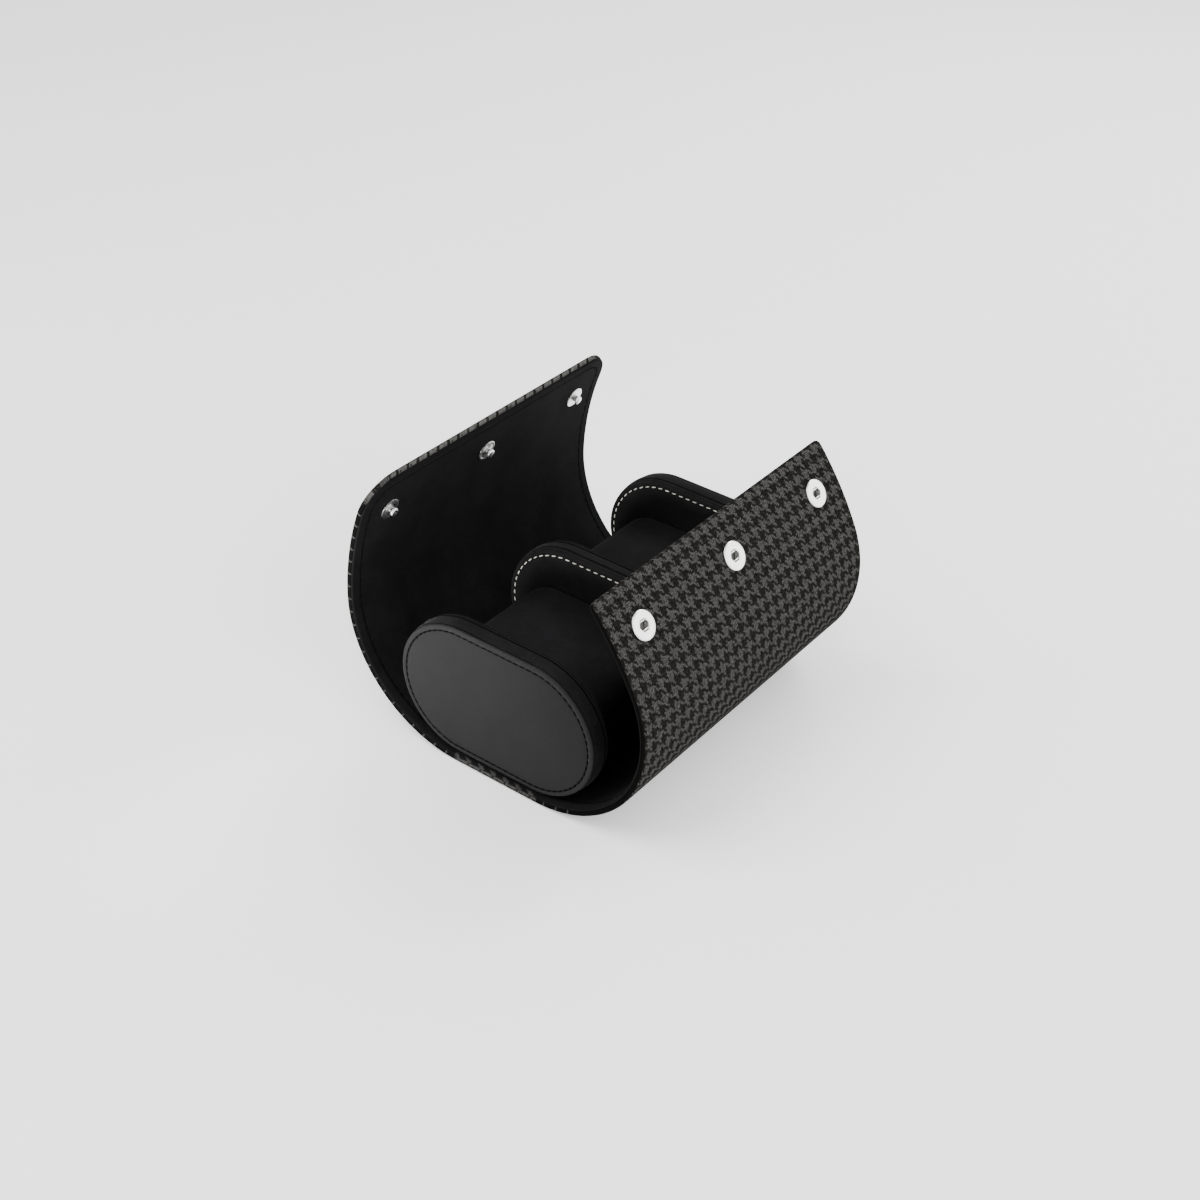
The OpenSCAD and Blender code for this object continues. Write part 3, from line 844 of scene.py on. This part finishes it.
def end_line(strip):
    """The same down one side, round the free end and up the other side."""
    radius = max(strip.corner - STITCH_INSET, 1.5)
    tip = strip.last(STITCH_INSET)
    straight = abs(tip - strip.start) - radius
    arc = radius * math.pi / 2
    total = 2 * (straight + arc + STITCH_Y - radius)
    count = round(total / STITCH_PITCH)
    line = []
    for n in range(count):
        d = (n + 0.5) * total / count
        mirror = -1 if d > total / 2 else 1
        d = min(d, total - d)
        if d < straight:
            t, y, turned_by = strip.start + strip.away * d, -STITCH_Y, 0.0
        elif d < straight + arc:
            turned_by = (d - straight) / radius
            t = strip.start + strip.away * (straight + radius * math.sin(turned_by))
            y = -STITCH_Y + radius * (1 - math.cos(turned_by))
        else:
            t, y, turned_by = tip, -STITCH_Y + radius + d - straight - arc, math.pi / 2
        direction = (strip.away * math.cos(turned_by), mirror * math.sin(turned_by))
        line.append(((t, mirror * y), direction))
    return line


def on_wrap(t, y, direction, depth, inward):
    """Place, direction and upward normal of something on the wrap."""
    x, z, heading = wrap_place(t, depth)
    side = 1 if t > 0 else -1
    round_wrap = Vector((math.cos(heading), 0, side * math.sin(heading)))
    normal = Vector((-math.sin(heading) * side, 0, math.cos(heading)))
    forward = round_wrap * direction[0] + Vector((0, direction[1], 0))
    return (x * MM, y * MM, z * MM), forward, normal if inward else -normal


# %% Sew the wrap
wrap_stitch = thread_stitch(2.9 * MM, 0.5 * MM, 0.34 * MM)
wrap_rows = {}
for strip in STRIPS:
    row = []
    for (t, y), direction in (end_line if strip.free else open_line)(strip):
        row.append(on_wrap(t, y, direction, WALL, True))
        row.append(on_wrap(t, y, direction, SUNK, False))
    stitches = stitch_row(row, wrap_stitch, "wrap_stitches_" + strip.name)
    wrap_rows[strip.name] = dress(stitches, dark_thread, "dark_thread")
bpy.data.objects.remove(wrap_stitch)
print("wrap stitches:", sum(len(r.data.polygons) for r in wrap_rows.values()), "faces")

# %% Hide the CAD's sheets under the strips
for strip in STRIPS:
    cover, lining, row = (rows[strip.name] for rows in (covers, linings, wrap_rows))
    size = (2 * WRAP_HALF * MM, abs(strip.end - strip.start) * MM)
    for piece in (cover, lining, row):
        bend_over_fold(piece, strip)
    for piece, layer in ((cover, "_cover"), (lining, "_lining")):
        base = ["base" + layer] if strip.name == "lid_base" else []
        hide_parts(strip.bodies[1] + layer, *base)
print("sheets:", len(covers) + len(linings))

# %% [markdown]
# ## Dividers
# Each divider is a padded plate with round ends. A plate of this outline is
# turned like a bowl and then pulled apart: rings are extruded and scaled from
# a circle, and the two halves move apart along X by the straight length. The
# same turned outline makes the suede band, its suede faces and the leather.


# %% Turned and pulled plates
def turned(name, profile, around=96):
    """Rings (radius, place) in mm round the z axis, closed at both ends."""
    clear_selection()
    radius, place = profile[0]
    bpy.ops.mesh.primitive_circle_add(
        vertices=around, radius=radius, location=(0, 0, place), rotation=(0, 0, math.pi / around))
    piece = bpy.context.object
    piece.name = name
    apply_place(piece)
    edit(piece, "EDGE")
    pick_all()
    for (r1, p1), (r2, p2) in zip(profile, profile[1:]):
        bpy.ops.mesh.extrude_edges_move(TRANSFORM_OT_translate={"value": (0, 0, p2 - p1)})
        bpy.ops.transform.resize(value=(r2 / r1, r2 / r1, 1), center_override=(0, 0, p2))
    done()
    for radius, place in (profile[0], profile[-1]):
        close_ring(piece, radius, place)
    face_outward(piece)
    return piece


def close_ring(piece, radius, place):
    """Bridges a ring's upper half to its lower half, in neat quads."""
    def half_ring(edge):
        ends = corners(piece, edge)
        on_ring = all(abs(co.z - place) < 0.001 and abs(co.xy.length - radius) < 0.001 for co in ends)
        return on_ring and ends[0].y * ends[1].y > 0

    edit(piece, "EDGE")
    pick(piece, "EDGE", half_ring)
    bpy.ops.mesh.bridge_edge_loops()
    done()


def pulled_plate(name, profile, where):
    """A turned outline, pulled apart into an obround that stands at y = where."""
    plate = turned(name, profile)
    edit(plate)
    for side in (-1, 1):
        pick(plate, "VERT", lambda v: v.co.x * side > 0)
        bpy.ops.transform.translate(value=(side * DIVIDER_STRAIGHT, 0, 0))
    done()
    to_metres(plate)
    upright = Matrix.Rotation(math.radians(90), 4, "X")
    plate.data.transform(Matrix.Translation((0, where * MM, AXIS_H * MM)) @ upright)
    return puffed(plate)


# %% [markdown]
# ### The band
# The suede band wraps the foam. A seam runs near each of its two edges, and
# between the seams the suede swells by a few tenths of a millimetre.


# %% Band profile
def band_end(seam_side, half, seamed):
    """The band's rings from the middle of one end round to its swell."""
    r = DIVIDER_R
    rings = [(2.0, half), (24.0, half), (r - 1.3, half), (r - 0.5, half - 0.2), (r - 0.12, half - 0.7)]
    seam = half - BAND_SEAM
    if seamed:
        rings += [(r - 0.05, seam + 0.35), (r - 0.8, seam), (r - 0.02, seam - 0.35)]
    rings.append((r + 0.12, seam - 1.1))
    return [(radius, seam_side * place) for radius, place in rings]


# With the plate upright its own z points towards -Y, so a near divider's
# outer side is the profile's positive side
for place, y in DIVIDER_Y.items():
    plus = LEATHER_SIDE if place == "near" else BAND_SIDE
    minus = LEATHER_SIDE if place == "far" else BAND_SIDE
    swell = [(DIVIDER_R + 0.16, (plus - minus) / 2)]
    profile = band_end(-1, minus, place != "far") + swell + band_end(1, plus, place != "near")[::-1]
    band = dress(pulled_plate(place + "_band", profile, y), band_suede, "suede")
    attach(band, "base")
    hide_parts(place + "_divider_band")
    print(band.name, len(band.data.polygons), "faces")

# %% [markdown]
# ### Faces
# The inner faces are suede and the two outer ones smooth leather. Both are
# pulled in along the stitch line and roll over at the border.


# %% Faces of suede and leather
def face_profile(radius, thick, dome):
    """A panel whose stitched line dips and whose turned border rolls over."""
    rings = [
        (2.0, dome), (5.0, dome), (10.0, dome * 0.96), (17.0, dome * 0.75), (22.0, dome * 0.42),
        (LINE_R - 1.6, 0.06), (LINE_R - 0.5, -0.1), (LINE_R, -0.34), (LINE_R + 0.45, -0.1),
        (LINE_R + 1.0, 0.06), (radius - 0.8, 0.02), (radius - 0.25, -0.24),
        (radius, -0.7), (radius - 0.08, 0.15 - thick), (radius - 0.8, -thick), (2.0, -thick),
    ]
    return [(r, DIVIDER_HALF + out) for r, out in rings]


suede_face = face_profile(DIVIDER_R - 0.5, 1.2, 0.0)
leather_face = face_profile(DIVIDER_R - 0.3, 1.4, 0.3)
FACES = [
    # name, divider, 1 where it faces the near end, CAD node that it replaces
    ("near_leather_panel", "near", 1, "near_divider_leather"),
    ("far_leather_panel", "far", -1, "far_divider_leather"),
    ("near_inner_face", "near", -1, "near_divider_face"),
    ("far_inner_face", "far", 1, "far_divider_face"),
    ("middle_near_face", "middle", 1, "middle_divider_faces"),
    ("middle_far_face", "middle", -1, None),
]
for name, place, facing, node in FACES:
    leather = name.endswith("leather_panel")
    profile = [(r, facing * out) for r, out in (leather_face if leather else suede_face)]
    face = pulled_plate(name, profile, DIVIDER_Y[place])
    face_outward(face)
    dress(face, *((panel_leather, "grey_leather") if leather else (divider_suede, "suede")))
    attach(face, "base")
    if node:
        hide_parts(node)
print("divider faces:", len(FACES))

# %% [markdown]
# ### Stitching of the dividers
# Cream stitches stand on the suede faces and dark ones on the leather. They
# lie in the dip of the stitch line, evenly spaced round the obround.


# %% Divider stitches
def divider_line(y, outward, pitch):
    half = 2 * DIVIDER_STRAIGHT + math.pi * LINE_R
    count = math.floor(2 * half / pitch)
    level = y + outward * (DIVIDER_HALF - SUNK)
    slant = math.radians(5)
    row = []
    for n in range(count):
        d = n * 2 * half / count
        # The lower half is the upper half turned by half a turn
        lower = d >= half
        d -= half * lower
        a = -max(0.0, d - 2 * DIVIDER_STRAIGHT) / LINE_R
        x = min(d, 2 * DIVIDER_STRAIGHT) - DIVIDER_STRAIGHT - LINE_R * math.sin(a)
        turn = -1 if lower else 1
        z = AXIS_H + turn * LINE_R * math.cos(a)
        direction = (turn * math.cos(a + slant), 0, turn * math.sin(a + slant))
        row.append(((turn * x * MM, level * MM, z * MM), direction, (0, outward, 0)))
    return row


suede_stitch = thread_stitch(2.05 * MM, 0.47 * MM, 0.42 * MM)
leather_stitch = thread_stitch(2.35 * MM, 0.62 * MM, 0.42 * MM)
CREAM = (suede_stitch, 3.4, cream_thread, "cream_thread")
DARK = (leather_stitch, 3.0, dark_thread, "dark_thread")
SEWN = [
    # name, (divider, side of it) for each line, thread, CAD node that it replaces
    ("near_cream_stitches", [("near", 1)], CREAM, "near_divider_stitches"),
    ("middle_cream_stitches", [("middle", -1), ("middle", 1)], CREAM, "middle_divider_stitches"),
    ("far_cream_stitches", [("far", -1)], CREAM, "far_divider_stitches"),
    ("dark_leather_stitches", [("near", -1), ("far", 1)], DARK, "leather_stitches"),
]
for name, lines, (model, pitch, finish, record_slot), node in SEWN:
    row = [point for place, side in lines for point in divider_line(DIVIDER_Y[place], side, pitch)]
    piece = dress(stitch_row(row, model, name), finish, record_slot)
    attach(piece, "base")
    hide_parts(node)
    print(name, len(row), "stitches")
for model in (suede_stitch, leather_stitch):
    bpy.data.objects.remove(model)

# %% [markdown]
# ## Cushions
# A cushion is a suede sleeve round a block of foam, with rounded ends. It
# starts as a box with bevelled edges, a little small, is remeshed, and a
# short cloth simulation inflates it. The dividers hold its two ends, so the
# ends are kept flat against them, and no point may swell by more than a cap.

# %% The block that becomes a cushion
CUSHION_W = 70.4
CUSHION_H = 30.0
CUSHION_Z = AXIS_H - 1.4
SWELL_ROOM = 0.8
SWELL_CAP = 1.3
END_GAP = 0.35
SIDE_ROUND, END_ROUND = 13.2, 1.7
SLOTS = {
    "near": (DIVIDER_Y["near"] + DIVIDER_HALF, DIVIDER_Y["middle"] - DIVIDER_HALF),
    "far": (DIVIDER_Y["middle"] + DIVIDER_HALF, DIVIDER_Y["far"] - DIVIDER_HALF),
}


def cushion_block(name, length):
    clear_selection()
    bpy.ops.mesh.primitive_cube_add(size=1)
    block = bpy.context.object
    block.name = name
    block.scale = (CUSHION_W - 2 * SWELL_ROOM, length, CUSHION_H - 2 * SWELL_ROOM)
    apply_place(block)

    def run(edge):
        a, b = corners(block, edge)
        return abs(a.y - b.y)

    edit(block, "EDGE")
    pick(block, "EDGE", lambda edge: run(edge) > 1)
    bpy.ops.mesh.bevel(offset=SIDE_ROUND, segments=9, profile=0.5)
    pick(block, "EDGE", lambda edge: run(edge) < TOUCH)
    bpy.ops.mesh.bevel(offset=END_ROUND, segments=4, profile=0.5)
    done()
    to_metres(block)
    return block


# %% Inflate by cloth simulation
def inflate(block, cap, pressure=4.0, steps=20):
    """Inflates a remeshed closed piece and keeps each point within cap."""
    modifier(block, "REMESH", mode="VOXEL", voxel_size=2.2 * MM, use_smooth_shade=True)
    start = [v.co.copy() for v in block.data.vertices]
    scene = bpy.context.scene
    cloth = modifier(block, "CLOTH", apply=False)
    suede_feel = {"mass": 0.3, "tension_stiffness": 25, "compression_stiffness": 25, "bending_stiffness": 2}
    air = {"use_pressure": True, "uniform_pressure_force": pressure, "quality": 5}
    for key, value in {**suede_feel, **air}.items():
        setattr(cloth.settings, key, value)
    cloth.settings.effector_weights.gravity = 0
    cloth.point_cache.frame_start = 1
    cloth.point_cache.frame_end = steps
    for step in range(1, steps + 1):
        scene.frame_set(step)
    apply_modifier(block, cloth)
    scene.frame_set(1)
    farthest = 0.0
    for vertex, first in zip(block.data.vertices, start):
        move = vertex.co - first
        if move.length > cap:
            vertex.co = first + move.normalized() * cap
        farthest = max(farthest, (vertex.co - first).length)
    print(block.name, "swelled by up to", round(farthest / MM, 2), "mm")
    return block


def seat_cushion(place):
    low, high = SLOTS[place]
    length = high - low - 2 * END_GAP
    cushion = inflate(cushion_block(place + "_cushion", length - 0.6), SWELL_CAP * MM)
    half = length / 2 * MM
    for vertex in cushion.data.vertices:
        vertex.co.y = max(-half, min(half, vertex.co.y))
    modifier(cushion, "SMOOTH", iterations=6, factor=0.5)
    cushion.data.transform(Matrix.Translation((0, (low + high) / 2 * MM, CUSHION_Z * MM)))
    dress(puffed(cushion), cushion_suede, "cushion_suede")
    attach(cushion, place + "_cushion")
    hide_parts(place + "_cushion_sleeve", place + "_cushion_foam", place + "_cushion_caps")


for place in SLOTS:
    seat_cushion(place)

# %% [markdown]
# ## Press snaps
# The lid carries three studs and the front flap three sockets. Both are
# turned parts, so each is one outline that is extruded ring by ring. The
# socket's hole is pressed to six sides, and two spring wires cross it.

# %% Studs
STUD_PROFILE = [
    (0.6, 0.0), (4.2, 0.0), (4.45, 0.08), (4.45, 0.32), (4.25, 0.48), (3.9, 0.46), (3.65, 0.36),
    (3.2, 0.42), (2.4, 0.56), (1.7, 0.66), (1.3, 0.78), (1.15, 0.98), (1.15, 1.6), (1.4, 1.78),
    (1.7, 2.0), (1.8, 2.3), (1.78, 2.55), (1.6, 2.82), (1.2, 3.0), (0.7, 3.08), (0.25, 3.1),
]


def set_snap(model, name, finish, n, t, depth, inward, body):
    """A copy of a snap's model at the n-th of the three places along y."""
    piece = copied(model, name)
    stand(piece, *on_wrap(t, n * SNAP_PITCH, (1, 0), depth, inward))
    dress(piece, finish, "nickel")
    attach(piece, body)
    return piece


stud_model = turned("stud_model", STUD_PROFILE, around=48)
to_metres(stud_model)
heights = stud_model.data.uv_layers.new(name="height")
for loop in stud_model.data.loops:
    point = stud_model.data.vertices[loop.vertex_index].co
    heights.data[loop.index].uv = (point.xy.length, point.z)
smooth(stud_model, 50)
for n in (-1, 0, 1):
    set_snap(stud_model, f"stud_{n + 2}", stud_nickel, n, STUD_T, WALL + 0.08, True, "lid_tip")
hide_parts("lid_studs")
bpy.data.objects.remove(stud_model)

# %% Sockets
SOCKET_PROFILE = [
    (2.5, -1.6), (3.0, -1.6), (3.0, -0.02), (5.3, -0.02), (5.56, 0.1), (5.6, 0.38), (5.5, 0.58), (5.25, 0.7),
    (4.95, 0.72), (4.72, 0.66), (4.4, 0.66), (3.4, 0.7), (2.66, 0.7), (2.55, 0.66), (2.5, 0.56), (2.5, 0.2),
]
HOLE = SOCKET_PROFILE[0][0]
SIXTH = math.radians(60)


def make_socket():
    body = turned("socket_model", SOCKET_PROFILE, around=48)

    def on_an_end(item, test):
        """True where an item lies at one end and each of its radii passes."""
        ends = (SOCKET_PROFILE[0][1], SOCKET_PROFILE[-1][1])
        return any(all(abs(co.z - end) < TOUCH and test(co.xy.length) for co in corners(body, item)) for end in ends)

    edit(body, "FACE")
    pick(body, "FACE", lambda face: on_an_end(face, lambda r: r < HOLE + TOUCH))
    bpy.ops.mesh.delete(type="FACE")
    pick(body, "EDGE", lambda edge: on_an_end(edge, lambda r: abs(r - HOLE) < TOUCH))
    bpy.ops.mesh.bridge_edge_loops()
    done()
    for vertex in body.data.vertices:
        r = vertex.co.xy.length
        if r < HOLE + 0.3:
            angle = (math.atan2(vertex.co.y, vertex.co.x) + SIXTH / 2) % SIXTH - SIXTH / 2
            six_sided = HOLE * math.cos(SIXTH / 2) / math.cos(angle) * 1.02
            vertex.co.xy = vertex.co.xy * ((six_sided + r - HOLE) / r)
    face_outward(body)
    to_metres(body)
    smooth(body, 50)
    return body


# %% Spring wires
def make_spring(side):
    """A wire across the hole, to one side of the stud, with its ends turned down."""
    clear_selection()
    upright = (0, math.radians(90), 0)
    bpy.ops.mesh.primitive_circle_add(
        vertices=12, radius=0.22, location=(-1.9, 0, -0.02), rotation=upright, fill_type="NGON")
    wire = bpy.context.object
    apply_place(wire)
    edit(wire, "FACE")
    pick_all()
    for step in ((0.35, 0, 0.3), (3.1, 0, 0.0), (0.35, 0, -0.3)):
        push(*step)
    done()
    face_outward(wire)
    to_metres(wire)
    smooth(wire, 60)
    wire.data.transform(Matrix.Translation((0, side * 1.57 * MM, 0)))
    wire.data.transform(Matrix.Rotation(math.radians(90), 4, "Z"))
    return wire


socket_model = make_socket()
spring_models = {side: make_spring(side) for side in (-1, 1)}
in_front = (SOCKET_T, 0.0, False, "front_tip")
sockets, springs = [], []
for n in (-1, 0, 1):
    sockets.append(set_snap(socket_model, f"socket_{n + 2}", nickel, n, *in_front))
    for side, model in spring_models.items():
        springs.append(set_snap(model, f"spring_{n + 2}_{side + 2}", nickel, n, *in_front))
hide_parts("front_sockets")
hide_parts("front_socket_springs")
for spare in (socket_model, *spring_models.values()):
    bpy.data.objects.remove(spare)
print("sockets:", len(sockets), "spring wires:", len(springs))

# %% [markdown]
# ## Pieces that stay as the CAD made them
# Boards, foam and rivets lie inside. They keep their CAD shape and get a
# plain board or foam finish; the rivets get nickel darkened with painted shade.

# %% Finishes for the CAD nodes
INSIDE = {"_board": inner_board, "_core": inner_foam, "_foam": inner_foam, "rivets": shaded_nickel}
for name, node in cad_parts.items():
    for ending, finish in INSIDE.items():
        if name.endswith(ending):
            if not node.data.materials:
                node.data.materials.append(finish)
            for slot in node.material_slots:
                slot.material = finish

# %% [markdown]
# ## Floor, light and camera
# The photograph has a white ground and soft light, a little stronger from the
# left. A pale floor that glows slightly gives the ground. The key light is in
# front on the left, the fill on the right, and two more light the right side
# and the back. A small narrow beam, low in front, falls on the near leather's
# upper part. The camera was fitted to the photograph's outline.

# %% Floor
clear_selection()
bpy.ops.mesh.primitive_plane_add(size=60, location=(0, 0, -0.0002))
floor = bpy.context.object
floor.name = "floor"
glow = {"Emission_Color": (1, 1, 1), "Emission_Strength": 0.3}
floor.data.materials.append(new_finish("pale_floor", (0.93, 0.93, 0.93), 0.9, **glow)[0])

world = bpy.data.worlds.new("soft_sky")
bpy.context.scene.world = world
world.use_nodes = True
sky = world.node_tree.nodes["Background"]
feed(sky, {"Color": (1, 1, 1), "Strength": 0.95})


# %% Lights
def soft_light(name, place, target, size, power, spread_angle=180):
    lamp = bpy.data.lights.new(name, "AREA")
    lamp.shape = "RECTANGLE"
    lamp.size, lamp.size_y = size
    lamp.energy = power
    lamp.spread = math.radians(spread_angle)
    holder = bpy.data.objects.new(name, lamp)
    holder.location = place
    aim = Vector(target) - Vector(place)
    holder.rotation_euler = aim.to_track_quat("-Z", "Y").to_euler()
    bpy.context.collection.objects.link(holder)


soft_light("key", (-0.45, -0.6, 0.95), (0, 0, 0.04), (0.8, 0.8), 15)
soft_light("near", (-0.07, -0.36, 0.075), (-0.058, -0.073, 0.060), (0.06, 0.06), 0.125, 36)
soft_light("fill", (0.95, -0.35, 0.7), (0, 0, 0.05), (0.9, 0.9), 10)
soft_light("side", (0.90, 0.86, 0.34), (0.06, 0, 0.08), (0.9, 0.7), 6)
soft_light("back", (0.1, 0.95, 0.85), (0, 0, 0.05), (1.0, 0.5), 12)

# %% Camera
AZIMUTH, ELEVATION, ROLL = (math.radians(v) for v in (35.82, 34.88, 2.21))
FOCAL_PIXELS = 1904.3
IMAGE_PIXELS = 1200
level = math.cos(ELEVATION)
aim = Vector((-math.sin(AZIMUTH) * level, math.cos(AZIMUTH) * level, -math.sin(ELEVATION)))
right = Vector((math.cos(AZIMUTH), math.sin(AZIMUTH), 0))
up = right.cross(aim)
turned_right = math.cos(ROLL) * right + math.sin(ROLL) * up
turned_up = -math.sin(ROLL) * right + math.cos(ROLL) * up
lens = bpy.data.cameras.new("camera")
lens.sensor_width = 36
lens.sensor_fit = "HORIZONTAL"
lens.lens = FOCAL_PIXELS / IMAGE_PIXELS * lens.sensor_width
lens.clip_start = 0.01
camera = bpy.data.objects.new("camera", lens)
facing = Matrix((turned_right, turned_up, -aim)).transposed().to_4x4()
camera.matrix_world = Matrix.Translation((0.3553, -0.4993, 0.4712)) @ facing
bpy.context.collection.objects.link(camera)
bpy.context.scene.camera = camera
print("focal length, mm:", round(lens.lens, 2))
